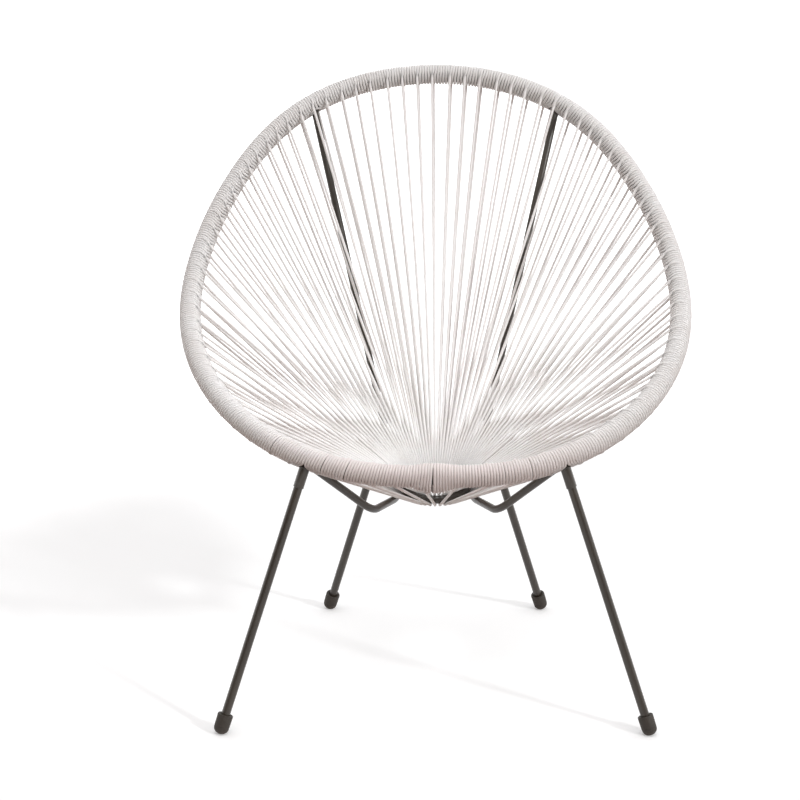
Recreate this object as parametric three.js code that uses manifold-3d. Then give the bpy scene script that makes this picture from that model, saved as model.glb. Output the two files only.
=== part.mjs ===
// A round-backed patio chair: a bent steel hoop raised like a bucket's rim, a small steel ring low in the middle,
// and one cord wound round the hoop that runs down to the ring and back at every loop to make the seat.
// Two bent rods carry the ring between the hoop's front and back, and four straight legs plug into welded sleeves.
//
// Lengths are in millimetres. X runs to the sitter's left, Y to the back of the chair and Z up.

import * as THREE from 'three';
import { mergeVertices } from 'three/addons/utils/BufferGeometryUtils.js';
import Module from 'manifold-3d';

const wasm = await Module();
wasm.setup();

// The hoop, measured on its centre line: flat outline first, then how that outline rises to the back.
const hoopWidth = 723.5;
const hoopLength = 765;
const hoopTubeDiameter = 24;
const hoopFrontHeight = 361.6;
const hoopFrontSetback = 43.2;
const frontRiseDegrees = 32.1;
const backRiseDegrees = 46.6;
const riseBendStartShare = 0.38;
const riseBendEndShare = 0.61;
// The outline is a sum of waves round the hoop, and these are their heights as shares of the half width and half length.
const widthWaveShares = [0.961, -0.055, -0.035, -0.055];
const lengthWaveShares = [1.044, -0.004, -0.044, -0.039];

// The small ring that every seat cord hooks round, and the plates that weld it to the rods below.
const ringRadius = 48;
const ringTubeDiameter = 12;
const ringSetback = 235;
const ringHeight = 289;
const ringTiltDegrees = 10;
const weldPlateThickness = 3;
const weldPlateWidth = 8;

// The cord and its loops between the hoop and the ring. Loops lie wider apart at the front edge of the seat.
const cordDiameter = 4;
const seatLoops = 84;
const cordSections = 12;
const loopSpacing = 26;
const frontLoopSpacing = 41;
const frontSpacingReach = 300;
const windingGrooveWidth = 6;
const windingGrooveDepth = 1.4;
// How far the hooks lean from even steps round the ring towards the straight line to their place on the hoop.
const hookStraightenShare = 0.5;
// How much of its arc of the ring each section's hooks fill, and how thin they are squeezed there.
const hookSpreadShare = 0.8;
const hookSqueezeShare = 0.8;

// The two bent rods. Each runs from the hoop's back, round a knee, under the ring, round a front bend and up to the
// hoop's front. Their ends and the front sleeves are placed in loops of cord, counted from the front. The lower strand
// of the loop at a rod's back end steps aside to pass it, by a share of a loop.
const rodDiameter = 11;
const rodBackLoops = 34.05;
const rodFrontLoops = 4.7;
const besideRodLoops = 0.4;
const rodFrontDrop = 5;
const kneeHalfSpread = 76;
const kneeSetback = 375;
const kneeHeight = 330;
const kneeBendRadius = 90;
const underRingBendRadius = 80;
const underRingOutset = 4;
const rodToStrandClearance = 3.5;
const frontBendHalfSpread = 88;
const frontBendSetback = 121;
const frontBendHeight = 286;
const frontBendRadius = 40;

// The legs, the sleeves that they plug into, and their foot caps.
const sleeveLoops = 4.5;
const legDiameter = 12.4;
const legWall = 1.2;
const sleeveWall = 0.9;
const frontSleeveLength = 42;
const rearSleeveLength = 36;
const legInsertion = 25;
const frontFootHalfSpread = 300;
const rearFootHalfSpread = 173;
const rearFootSetback = 477;
const capBottomDiameter = 21.2;
const capTopDiameter = 22;
const capHeight = 29;
const capDomeHeight = 9;
const capFloorThickness = 11;
const capTopRounding = 1.2;
const footFlatDepth = 0.9;

// Clearance between pieces that touch, and overrun of the shapes that cut them.
const fitGap = 0.3;
const hookGap = 0.5;
const cutOverrun = 12;

// Facets.
const hoopSides = 8;
const tubeSides = 12;
const cordSides = 3;
const ringSteps = 36;
const ringSides = 8;
const bendSteps = 5;
const hookSteps = 3;
const bandSteps = 4;
const capDomeSteps = 4;
const hoopMeasureSteps = 1800;

const hoopTubeRadius = hoopTubeDiameter / 2;
const ringTubeRadius = ringTubeDiameter / 2;
const cordRadius = cordDiameter / 2;
const rodRadius = rodDiameter / 2;
const legRadius = legDiameter / 2;
const sleeveBoreRadius = legRadius + fitGap;
const sleeveRadius = sleeveBoreRadius + sleeveWall;
const windingRadius = hoopTubeRadius + cordDiameter;
const frontRise = THREE.MathUtils.degToRad(frontRiseDegrees);
const backRise = THREE.MathUtils.degToRad(backRiseDegrees);
const ringTilt = THREE.MathUtils.degToRad(ringTiltDegrees);
const up = new THREE.Vector3(0, 0, 1);
const across = new THREE.Vector3(1, 0, 0);

// A polygon stands inside its circle, so a bore with flat sides needs this factor to clear a round of the same radius.
function aroundCircle(sides) {
  return 1 / Math.cos(Math.PI / sides);
}

// Solids

function solidFrom(geometry) {
  const bare = geometry.clone();
  bare.deleteAttribute('normal');
  bare.deleteAttribute('uv');
  const merged = mergeVertices(bare);
  return new wasm.Manifold(new wasm.Mesh({
    numProp: 3,
    vertProperties: new Float32Array(merged.attributes.position.array),
    triVerts: new Uint32Array(merged.index.array),
  }));
}

function geometryFrom(solid) {
  const mesh = solid.getMesh();
  const geometry = new THREE.BufferGeometry();
  geometry.setAttribute('position', new THREE.BufferAttribute(new Float32Array(mesh.vertProperties), 3));
  geometry.setIndex(new THREE.BufferAttribute(new Uint32Array(mesh.triVerts), 1));
  geometry.computeVertexNormals();
  return geometry;
}

// Triangles that fill an outline by crossing from its first points to its last, good for round and C-shaped outlines.
function capTriangles(count) {
  const triangles = [];
  let low = 0;
  let high = count - 1;
  while (high - low > 1) {
    triangles.push([low, low + 1, high]);
    low += 1;
    if (high - low > 1) {
      triangles.push([low, high - 1, high]);
      high -= 1;
    }
  }
  return triangles;
}

// Joins rings of points, each counter-clockwise about the direction of travel, into one skin. A closed skin runs from
// its last ring back to its first. An open one gets an end face at both ends.
function skin(rings, closed) {
  const count = rings[0].length;
  const indices = [];
  const steps = closed ? rings.length : rings.length - 1;
  for (let i = 0; i < steps; i += 1) {
    const here = i * count;
    const next = ((i + 1) % rings.length) * count;
    for (let j = 0; j < count; j += 1) {
      const k = (j + 1) % count;
      indices.push(here + j, here + k, next + j);
      indices.push(next + j, here + k, next + k);
    }
  }
  if (!closed) {
    const last = (rings.length - 1) * count;
    for (const [a, b, c] of capTriangles(count)) {
      indices.push(a, c, b);
      indices.push(last + a, last + b, last + c);
    }
  }
  const geometry = new THREE.BufferGeometry().setFromPoints(rings.flat());
  geometry.setIndex(indices);
  return geometry;
}

// A ring of points about a centre, square to the direction of travel.
function roundRing(centre, along, reference, radius, sides) {
  const first = reference.clone().addScaledVector(along, -reference.dot(along)).normalize();
  const second = along.clone().cross(first);
  return Array.from({ length: sides }, (_, j) => {
    const turn = (2 * Math.PI * j) / sides;
    return centre.clone()
      .addScaledVector(first, radius * Math.cos(turn))
      .addScaledVector(second, radius * Math.sin(turn));
  });
}

// A straight bar between two points, which may taper.
function bar(start, end, startRadius, endRadius, sides, reference) {
  const along = end.clone().sub(start).normalize();
  return skin([
    roundRing(start, along, reference, startRadius, sides),
    roundRing(end, along, reference, endRadius, sides),
  ], false);
}

// A straight tube, open at both ends.
function tube(start, end, outerRadius, boreRadius, reference) {
  const along = end.clone().sub(start).normalize();
  return skin([
    roundRing(start, along, reference, outerRadius, tubeSides),
    roundRing(end, along, reference, outerRadius, tubeSides),
    roundRing(end, along, reference, boreRadius, tubeSides),
    roundRing(start, along, reference, boreRadius, tubeSides),
  ], true);
}

// The hoop's centre line

function hoopPoint(angle) {
  let side = 0;
  let reach = 0;
  for (let i = 0; i < widthWaveShares.length; i += 1) {
    side += widthWaveShares[i] * Math.sin((i + 1) * angle);
    reach += lengthWaveShares[i] * (1 - Math.cos((i + 1) * angle));
  }
  const run = (hoopLength / 2) * reach;
  const bendStart = hoopLength * riseBendStartShare;
  const bendEnd = hoopLength * riseBendEndShare;
  const bendRadius = (bendEnd - bendStart) / (backRise - frontRise);
  const flat = Math.min(run, bendStart);
  const rise = frontRise + (Math.min(Math.max(run, bendStart), bendEnd) - bendStart) / bendRadius;
  const rest = Math.max(run - bendEnd, 0);
  return new THREE.Vector3(
    (hoopWidth / 2) * side,
    hoopFrontSetback + flat * Math.cos(frontRise)
      + bendRadius * (Math.sin(rise) - Math.sin(frontRise)) + rest * Math.cos(backRise),
    hoopFrontHeight + flat * Math.sin(frontRise)
      + bendRadius * (Math.cos(frontRise) - Math.cos(rise)) + rest * Math.sin(backRise),
  );
}

// Marks along half the hoop, from the front to the back, with the loops of cord counted on the way.
function measureHoop() {
  const marks = [{ angle: 0, loops: 0 }];
  let length = 0;
  let loops = 0;
  let last = hoopPoint(0);
  for (let i = 1; i <= hoopMeasureSteps; i += 1) {
    const angle = (Math.PI * i) / hoopMeasureSteps;
    const point = hoopPoint(angle);
    const step = point.distanceTo(last);
    const fade = Math.exp(-(((length + step / 2) / frontSpacingReach) ** 4));
    loops += step / (loopSpacing + (frontLoopSpacing - loopSpacing) * fade);
    length += step;
    last = point;
    marks.push({ angle, loops });
  }
  return marks.map((mark) => ({ angle: mark.angle, loops: (mark.loops / loops) * (seatLoops / 2) }));
}

const hoopMarks = measureHoop();

// A place counted in loops of cord from the front: positive to one side, negative to the other, whole round the hoop.
function wrapLoops(place) {
  return place - seatLoops * Math.round(place / seatLoops);
}

function hoopAngleAt(place) {
  const wrapped = wrapLoops(place);
  const wanted = Math.abs(wrapped);
  const next = hoopMarks.findIndex((mark) => mark.loops >= wanted);
  if (next <= 0) {
    return 0;
  }
  const before = hoopMarks[next - 1];
  const after = hoopMarks[next];
  const part = (wanted - before.loops) / (after.loops - before.loops);
  return Math.sign(wrapped) * (before.angle + part * (after.angle - before.angle));
}

function hoopAt(place) {
  return hoopPoint(hoopAngleAt(place));
}

function hoopAlong(place) {
  return hoopAt(place + 1 / 2).sub(hoopAt(place - 1 / 2)).normalize();
}

// The tube, its winding and their clearances all share these facets, so they stay at one distance from each other.
function hoopRing(place, radius) {
  const low = Math.floor(place);
  const part = place - low;
  const before = roundRing(hoopAt(low), hoopAlong(low), up, radius, hoopSides);
  if (part === 0) {
    return before;
  }
  const after = roundRing(hoopAt(low + 1), hoopAlong(low + 1), up, radius, hoopSides);
  return before.map((point, j) => point.lerp(after[j], part));
}

function hoopTube(radius) {
  return skin(Array.from({ length: seatLoops }, (_, k) => hoopRing(k, radius)), true);
}

// The small ring

const ringCentre = new THREE.Vector3(0, ringSetback, ringHeight);
const ringNormal = up.clone().applyAxisAngle(across, ringTilt);

function ringOutward(turn) {
  return new THREE.Vector3(Math.sin(turn), -Math.cos(turn), 0).applyAxisAngle(across, ringTilt);
}

function ringAt(turn) {
  return ringCentre.clone().addScaledVector(ringOutward(turn), ringRadius);
}

// Where on the ring a loop hooks, as a turn from the front.
function hookTurn(place) {
  const wrapped = wrapLoops(place);
  const point = hoopAt(wrapped);
  const even = (2 * Math.PI * wrapped) / seatLoops;
  const straight = Math.abs(wrapped) === seatLoops / 2
    ? even
    : Math.atan2(point.x, ringSetback - point.y);
  return even + hookStraightenShare * (straight - even) + 2 * Math.PI * Math.round(place / seatLoops);
}

// One loop's line from the hoop to the ring: square to it, liftAtHoop and liftAtRing point into the seat.
function loopLine(hoopPlace, ringPlace) {
  const turn = hookTurn(ringPlace);
  const hoopEnd = hoopAt(hoopPlace);
  const ringEnd = ringAt(turn);
  const along = ringEnd.clone().sub(hoopEnd).normalize();
  const liftAtHoop = hoopAlong(hoopPlace).cross(along).normalize();
  const ringAlong = ringNormal.clone().cross(ringOutward(turn));
  const liftAtRing = ringAlong.cross(along).normalize();
  if (liftAtHoop.z < 0) {
    liftAtHoop.negate();
  }
  if (liftAtRing.z < 0) {
    liftAtRing.negate();
  }
  return { hoopEnd, ringEnd, along, liftAtHoop, liftAtRing, turn };
}

// Support rods

// Rounds every inner corner of a path. Returns the path's points and the middle of each bend.
function roundedPath(corners, radii) {
  const points = [corners[0]];
  const middles = [];
  for (let i = 1; i < corners.length - 1; i += 1) {
    const corner = corners[i];
    const back = corners[i - 1].clone().sub(corner).normalize();
    const ahead = corners[i + 1].clone().sub(corner).normalize();
    const half = back.angleTo(ahead) / 2;
    const radius = radii[i - 1];
    const setback = radius / Math.tan(half);
    const centre = corner.clone().addScaledVector(back.clone().add(ahead).normalize(), radius / Math.sin(half));
    const from = corner.clone().addScaledVector(back, setback).sub(centre);
    const to = corner.clone().addScaledVector(ahead, setback).sub(centre);
    const axis = from.clone().cross(to).normalize();
    const sweep = from.angleTo(to);
    for (let j = 0; j <= bendSteps; j += 1) {
      points.push(from.clone().applyAxisAngle(axis, (sweep * j) / bendSteps).add(centre));
    }
    middles.push(from.clone().applyAxisAngle(axis, sweep / 2).add(centre));
  }
  points.push(corners[corners.length - 1]);
  return { points, middles };
}

// The rods pass under the ring where a weld plate stands, between two sections of cord.
const loopsPerSection = seatLoops / cordSections;
const platePlace = 2.5 * loopsPerSection;
const plateTurn = hookTurn(platePlace);

function rodPath(side) {
  const back = hoopAt(side * rodBackLoops);
  const knee = new THREE.Vector3(side * kneeHalfSpread, kneeSetback, kneeHeight);
  const underRing = ringAt(side * plateTurn);
  underRing.x += side * underRingOutset;
  underRing.z -= ringTubeRadius + cordDiameter + rodToStrandClearance + rodRadius;
  const frontBend = new THREE.Vector3(side * frontBendHalfSpread, frontBendSetback, frontBendHeight);
  const front = hoopAt(side * rodFrontLoops);
  front.z -= rodFrontDrop;
  return roundedPath(
    [back, knee, underRing, frontBend, front],
    [kneeBendRadius, underRingBendRadius, frontBendRadius],
  );
}

function rodSkin(side, radius) {
  const { points } = rodPath(side);
  const rings = points.map((point, i) => {
    const before = points[Math.max(i - 1, 0)];
    const after = points[Math.min(i + 1, points.length - 1)];
    return roundRing(point, after.clone().sub(before).normalize(), across, radius, tubeSides);
  });
  return skin(rings, false);
}

// Legs

// Each leg's centre line, from the hoop or the rod that its sleeve is welded to, down to the floor.
function legLine(end, side) {
  const front = end === 'front';
  const top = front ? hoopAt(side * sleeveLoops) : rodPath(side).middles[0];
  const foot = front
    ? new THREE.Vector3(side * frontFootHalfSpread, 0, 0)
    : new THREE.Vector3(side * rearFootHalfSpread, rearFootSetback, 0);
  const along = foot.clone().sub(top).normalize();
  return { top, foot, along, sleeveLength: front ? frontSleeveLength : rearSleeveLength };
}

function pointOn(line, distance) {
  return line.top.clone().addScaledVector(line.along, distance);
}

// The cap's domed end sinks to the floor and is cut flat there, so its place on the leg follows from the leg's slope.
function capPlace(line) {
  const slopeCosine = -line.along.z;
  const slopeSine = Math.sqrt(1 - slopeCosine ** 2);
  const domeReach = Math.hypot(capDomeHeight * slopeCosine, (capBottomDiameter / 2) * slopeSine);
  const domeCentreHeight = domeReach - footFlatDepth;
  return line.foot.clone().addScaledVector(line.along, -(domeCentreHeight / slopeCosine - capDomeHeight));
}

function legTube(line) {
  const end = capPlace(line).addScaledVector(line.along, -(capFloorThickness + fitGap));
  return tube(pointOn(line, line.sleeveLength - legInsertion), end, legRadius, legRadius - legWall, across);
}

function footCap(line) {
  const outline = [];
  for (let j = 0; j <= capDomeSteps; j += 1) {
    const turn = (Math.PI / 2) * (j / capDomeSteps);
    outline.push(new THREE.Vector2(
      (capBottomDiameter / 2) * Math.sin(turn),
      capDomeHeight * (1 - Math.cos(turn)),
    ));
  }
  const boreRadius = (legRadius + fitGap) * aroundCircle(tubeSides);
  outline.push(new THREE.Vector2(capTopDiameter / 2, capHeight - capTopRounding));
  outline.push(new THREE.Vector2(capTopDiameter / 2 - capTopRounding, capHeight));
  outline.push(new THREE.Vector2(boreRadius, capHeight));
  outline.push(new THREE.Vector2(boreRadius, capFloorThickness));
  outline.push(new THREE.Vector2(0, capFloorThickness));
  const lathe = new THREE.LatheGeometry(outline, tubeSides);
  lathe.applyQuaternion(new THREE.Quaternion().setFromUnitVectors(
    new THREE.Vector3(0, 1, 0),
    line.along.clone().negate(),
  ));
  const place = capPlace(line);
  lathe.translate(place.x, place.y, place.z);
  const size = capTopDiameter + cutOverrun;
  const floor = new THREE.BoxGeometry(size, size, cutOverrun);
  floor.translate(line.foot.x, line.foot.y, -cutOverrun / 2);
  return solidFrom(lathe).subtract(solidFrom(floor));
}

// The cord

// The winding over one stretch of hoop: groups of turns with a groove where the cord leaves for the ring.
function windingShell(from, to) {
  const boreRadius = hoopTubeRadius + fitGap * aroundCircle(hoopSides);
  const stepLength = (place) => hoopAt(place + 1 / 2).distanceTo(hoopAt(place - 1 / 2));
  const start = from + fitGap / 2 / stepLength(from);
  const end = to - fitGap / 2 / stepLength(to);
  const outer = [hoopRing(start, windingRadius)];
  const bore = [hoopRing(start, boreRadius)];
  for (let place = Math.ceil(from); place < to; place += 1) {
    const half = windingGrooveWidth / 2 / stepLength(place);
    outer.push(hoopRing(place - half, windingRadius));
    outer.push(hoopRing(place, windingRadius - windingGrooveDepth));
    outer.push(hoopRing(place + half, windingRadius));
    bore.push(hoopRing(place, boreRadius));
  }
  outer.push(hoopRing(end, windingRadius));
  bore.push(hoopRing(end, boreRadius));
  return skin([...outer, ...bore.reverse()], true);
}

// The cords' hooks, side by side round the ring, as one band from the upper strands to the lower ones.
function hookBand(from, to, startGap, endGap) {
  const innerRadius = (ringTubeRadius + hookGap) * aroundCircle(2 * bandSteps);
  const outerRadius = ringTubeRadius + cordDiameter;
  const start = hookTurn(from) + startGap / ringRadius;
  const end = hookTurn(to) - endGap / ringRadius;
  const rings = [];
  for (let i = 0; i <= hookSteps; i += 1) {
    const turn = start + ((end - start) * i) / hookSteps;
    const place = from + ((to - from) * i) / hookSteps;
    const outward = ringOutward(turn);
    const lift = loopLine(place, place).liftAtRing;
    const liftTurn = Math.atan2(lift.dot(ringNormal), lift.dot(outward));
    const pointAt = (radius, step) => ringAt(turn)
      .addScaledVector(outward, radius * Math.cos(liftTurn + (Math.PI * step) / bandSteps))
      .addScaledVector(ringNormal, radius * Math.sin(liftTurn + (Math.PI * step) / bandSteps));
    const ring = [];
    for (let step = bandSteps; step >= 0; step -= 1) {
      ring.push(pointAt(outerRadius, step));
    }
    for (let step = 0; step <= bandSteps; step += 1) {
      ring.push(pointAt(innerRadius, step));
    }
    rings.push(ring);
  }
  return skin(rings, false);
}

// One strand, upper or lower. It runs straight from where it has cleared the winding to the same face of the ring.
function strand(place, ringPlace, face) {
  const line = loopLine(place, ringPlace);
  const offset = hoopTubeRadius + cordRadius;
  const start = line.hoopEnd.clone().addScaledVector(line.liftAtHoop, face * offset);
  const end = line.ringEnd.clone().addScaledVector(line.liftAtRing, face * (ringTubeRadius + cordRadius));
  const along = end.clone().sub(start).normalize();
  const slant = Math.abs(along.dot(hoopAlong(place)));
  const squareReach = Math.sqrt((windingRadius + fitGap) ** 2 - (offset - cordRadius) ** 2);
  start.addScaledVector(along, (squareReach + cordRadius * slant) / Math.sqrt(1 - slant ** 2));
  end.addScaledVector(along, cordRadius);
  return bar(start, end, cordRadius, cordRadius * hookSqueezeShare, cordSides, line.liftAtHoop);
}

// The room that a rod or a front sleeve takes in what it passes through.
function rodRoom(side) {
  return solidFrom(rodSkin(side, (rodRadius + fitGap) * aroundCircle(tubeSides)));
}

function frontSleeveRoom(side) {
  const line = legLine('front', side);
  const radius = (sleeveRadius + fitGap) * aroundCircle(tubeSides);
  return solidFrom(bar(line.top, pointOn(line, line.sleeveLength), radius, radius, tubeSides, across));
}

function rimWinding(from, to) {
  const inside = (place) => place > from && place < to;
  let body = solidFrom(windingShell(from, to));
  for (const side of [-1, 1]) {
    if (inside(side * rodBackLoops) || inside(side * rodFrontLoops)) {
      body = body.subtract(rodRoom(side));
    }
    if (inside(side * sleeveLoops)) {
      body = body.subtract(frontSleeveRoom(side));
    }
  }
  return body;
}

// Where a loop's lower strand leaves the hoop. At the rods' back ends that is beside the rod.
function lowerPlace(place) {
  const wrapped = wrapLoops(place);
  const atRod = Math.abs(Math.abs(wrapped) - rodBackLoops) < besideRodLoops;
  return atRod ? place + Math.sign(wrapped) * besideRodLoops : place;
}

// The seat between two places on the hoop: every loop's upper and lower strand, joined by their hooks round the ring.
function seatCords(from, to) {
  const centre = (from + to) / 2;
  const plateGap = weldPlateThickness / 2 + fitGap;
  const gapAt = (place) => (Math.abs(wrapLoops(place)) === platePlace ? plateGap : fitGap / 2);
  let body = solidFrom(hookBand(from, to, gapAt(from), gapAt(to)));
  for (let place = Math.ceil(from); place < to; place += 1) {
    const ringPlace = centre + (place - centre) * hookSpreadShare;
    body = body.add(solidFrom(strand(place, ringPlace, 1)));
    body = body.add(solidFrom(strand(lowerPlace(place), ringPlace, -1)));
  }
  return body;
}

// The ring with its two weld plates, which reach down to the rods.
function innerRing() {
  const torus = new THREE.TorusGeometry(ringRadius, ringTubeRadius, ringSides, ringSteps);
  torus.rotateX(ringTilt);
  torus.translate(ringCentre.x, ringCentre.y, ringCentre.z);
  let body = solidFrom(torus);
  for (const side of [-1, 1]) {
    const turn = side * plateTurn;
    const drop = ringTubeRadius + cordDiameter + rodToStrandClearance + rodRadius;
    const plate = new THREE.BoxGeometry(weldPlateThickness, weldPlateWidth, drop);
    plate.translate(0, -underRingOutset / 2, -drop / 2);
    plate.rotateZ(turn);
    plate.rotateX(ringTilt);
    const place = ringAt(turn);
    plate.translate(place.x, place.y, place.z);
    body = body.add(solidFrom(plate));
    body = body.subtract(rodRoom(side));
  }
  return body;
}

// Materials

const steel = { color: 0x3b3630, roughness: 0.5, metalness: 0.6 };
const pvcCord = { color: 0xf2f0ed, roughness: 0.42, metalness: 0 };
const capPlastic = { color: 0x3f3a33, roughness: 0.7, metalness: 0 };

const chair = new THREE.Group();

function addPiece(name, geometry, finish) {
  const mesh = new THREE.Mesh(geometry, new THREE.MeshStandardMaterial(finish));
  mesh.name = name;
  chair.add(mesh);
}

addPiece('hoop_tube', hoopTube(hoopTubeRadius), steel);
addPiece('inner_ring', geometryFrom(innerRing()), steel);

const hoopRoom = solidFrom(hoopTube(hoopTubeRadius + fitGap * aroundCircle(hoopSides)));
const sides = [
  { sign: -1, word: 'left' },
  { sign: 1, word: 'right' },
];

for (const { sign, word } of sides) {
  const rod = solidFrom(rodSkin(sign, rodRadius)).subtract(hoopRoom).subtract(frontSleeveRoom(sign));
  addPiece(`support_rod_${word}`, geometryFrom(rod), steel);
}

for (const end of ['front', 'rear']) {
  for (const { sign, word } of sides) {
    const line = legLine(end, sign);
    const tubeEnd = pointOn(line, line.sleeveLength);
    const sleeve = solidFrom(tube(line.top, tubeEnd, sleeveRadius, sleeveBoreRadius, across));
    const carrier = end === 'front' ? hoopRoom : rodRoom(sign);
    addPiece(`leg_sleeve_${end}_${word}`, geometryFrom(sleeve.subtract(carrier)), steel);
    addPiece(`leg_${end}_${word}`, legTube(line), steel);
    addPiece(`foot_cap_${end}_${word}`, geometryFrom(footCap(line)), capPlastic);
  }
}

for (let i = 0; i < cordSections; i += 1) {
  const number = String(i + 1).padStart(2, '0');
  const centre = wrapLoops(i * loopsPerSection);
  const from = centre - loopsPerSection / 2;
  const to = centre + loopsPerSection / 2;
  addPiece(`rim_winding_${number}`, geometryFrom(rimWinding(from, to)), pvcCord);
  addPiece(`seat_cords_${number}`, geometryFrom(seatCords(from, to)), pvcCord);
}

// The chair stands on the floor with the middle of its outline over the origin.
const outline = new THREE.Box3().setFromObject(chair);
const middle = outline.getCenter(new THREE.Vector3());
chair.position.set(-middle.x, -middle.y, -outline.min.z);

export default chair;
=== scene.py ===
"""A round-backed patio chair with a seat of white cord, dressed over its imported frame.

One PVC cord is laid turn by turn round the hoop. At every loop it leaves for the small ring, hooks through
it and comes back. Bent rods, welded sleeves, plug-in legs and moulded foot caps carry it. Sizes are in
millimetres until a point is placed. x runs to the right of the photograph, y to the chair's back and z up,
and left and right in names are the photograph's too.
"""
import math

import bmesh
import bpy
import numpy as np
from mathutils import Matrix, Vector


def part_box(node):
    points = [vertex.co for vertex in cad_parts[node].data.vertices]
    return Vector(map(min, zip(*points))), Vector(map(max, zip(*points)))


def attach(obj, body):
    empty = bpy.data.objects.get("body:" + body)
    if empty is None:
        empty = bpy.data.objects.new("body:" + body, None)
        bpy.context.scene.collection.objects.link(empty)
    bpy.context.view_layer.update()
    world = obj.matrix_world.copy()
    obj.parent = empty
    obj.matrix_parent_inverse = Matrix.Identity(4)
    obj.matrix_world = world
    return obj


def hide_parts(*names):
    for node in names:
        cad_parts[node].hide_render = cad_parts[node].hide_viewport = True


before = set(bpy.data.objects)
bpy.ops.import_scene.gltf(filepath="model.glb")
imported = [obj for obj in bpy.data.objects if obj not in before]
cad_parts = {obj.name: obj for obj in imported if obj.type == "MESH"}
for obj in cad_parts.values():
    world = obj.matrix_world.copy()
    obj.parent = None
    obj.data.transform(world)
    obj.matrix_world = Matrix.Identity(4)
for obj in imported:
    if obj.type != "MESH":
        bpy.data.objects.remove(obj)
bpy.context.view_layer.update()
MM = 0.001

# The hoop's outline and its rise, as the solids have them.
HOOP_WIDTH, HOOP_LENGTH = 723.5, 765.0
HOOP_TUBE_RADIUS = 12.0
HOOP_FRONT = (43.2, 361.6)
RISE = (math.radians(32.1), math.radians(46.6))
RISE_BEND = (0.38, 0.61)
WIDTH_WAVES = (0.961, -0.055, -0.035, -0.055)
LENGTH_WAVES = (1.044, -0.004, -0.044, -0.039)

# The small ring and the plates that weld it to the rods.
RING_RADIUS, RING_TUBE_RADIUS = 48.0, 6.0
RING_SETBACK, RING_HEIGHT = 235.0, 289.0
RING_TILT = math.radians(10)
PLATE_LOOP = 17.5
PLATE_SIZE, PLATE_EDGE, PLATE_BITE = (3.0, 8.0), 0.5, 0.4
PLATE_PUSH, PLATE_PUSH_FADE, PLATE_PUSH_REACH = 2.4, 14.0, 60.0

# The cord, its turns and its loops.
CORD_RADIUS = 2.0
TURN_PITCH = 4.05
LOOPS = 84
SECTIONS = 12
LOOP_SPACING, FRONT_LOOP_SPACING, FRONT_REACH = 26.0, 41.0, 300.0
TURN_STEPS = 28
CORD_SIDES = 10

# The bent rods, from the hoop's back to its front, and the legs.
ROD_RADIUS = 5.5
ROD_BACK_LOOP, ROD_FRONT_LOOP, ROD_FRONT_DROP = 34.05, 4.7, 5.0
KNEE, KNEE_BEND = (76.0, 375.0, 330.0), 90.0
UNDER_RING_BEND, UNDER_RING_OUTSET, ROD_TO_STRAND = 80.0, 4.0, 3.5
FRONT_BEND, FRONT_BEND_RADIUS = (88.0, 121.0, 286.0), 40.0
SLEEVE_LOOP = 4.5
SLEEVE_LENGTHS = {"front": 42.0, "rear": 36.0}
FEET = {"front": (300.0, 0.0), "rear": (173.0, 477.0)}
LEG_RADIUS, SLEEVE_RADIUS, SLEEVE_BORE = 6.2, 7.4, 6.5
LEG_INSERTION, LEG_EDGE, LEG_TO_CAP_FLOOR = 25.0, 0.6, 0.3
CAP_BOTTOM_RADIUS, CAP_TOP_RADIUS, CAP_HEIGHT, CAP_DOME, CAP_FLOOR = 10.6, 11.0, 29.0, 9.0, 11.0
FOOT_FLAT = 0.9

# How far rods, sleeves and plates reach into what they are welded to, and their beads.
ROD_BITE, SLEEVE_BITE = 1.0, 1.5
BEAD_RADIUS, SLEEVE_BEAD_RADIUS, PLATE_BEAD_RADIUS, RIPPLE_SPACING = 1.7, 1.5, 1.3, 1.5
ROD_BEAD_OUTSET, ROD_BEAD_RISE, SLEEVE_BEAD_RISE = 0.3, 1.5, 0.6
PLATE_BEAD_OUTSET, PLATE_BEAD_RISE = 0.6, 0.8

# How finely the steel and the feet are drawn.
HOOP_STEPS, RING_STEPS, BEAD_STEPS, ROD_BEND_STEPS, DOME_STEPS = 240, 96, 24, 16, 8
BAR_SIDES, RING_SIDES, LEG_SIDES, CAP_SIDES = 28, 20, 32, 40
SHARP_EDGE = math.radians(38)

UP = np.array((0.0, 0.0, 1.0))
ring_low, ring_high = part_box("inner_ring")
PART_SHIFT = np.array((0.0, (ring_low.y + ring_high.y) / 2 / MM - RING_SETBACK, 0.0))
random = np.random.default_rng(7)


# Materials


def linear(hex_colour):
    """An sRGB hex value as a linear RGBA colour."""
    parts = [int(hex_colour[i : i + 2], 16) / 255 for i in (1, 3, 5)]
    return [p / 12.92 if p <= 0.04045 else ((p + 0.055) / 1.055) ** 2.4 for p in parts] + [1.0]


def add(tree, kind, inputs=(), **settings):
    """Adds a node with its settings, and its inputs as values or links, by socket name or number."""
    made = tree.nodes.new(kind)
    for name, value in settings.items():
        setattr(made, name, value)
    for key, value in dict(inputs).items():
        if isinstance(value, bpy.types.NodeSocket):
            tree.links.new(value, made.inputs[key])
        else:
            made.inputs[key].default_value = value
    return made


def new_material(name):
    material = bpy.data.materials.new(name)
    material.use_nodes = True
    material.node_tree.nodes.clear()
    return material, material.node_tree


def colour_ramp(tree, factor, stops):
    ramp = add(tree, "ShaderNodeValToRGB", {"Fac": factor})
    ramp.color_ramp.elements[0].position, ramp.color_ramp.elements[-1].position = stops[0][0], stops[-1][0]
    for place, _ in stops[1:-1]:
        ramp.color_ramp.elements.new(place)
    for element, (_, colour) in zip(ramp.color_ramp.elements, stops):
        element.color = linear(colour)
    return ramp.outputs["Color"]


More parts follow.
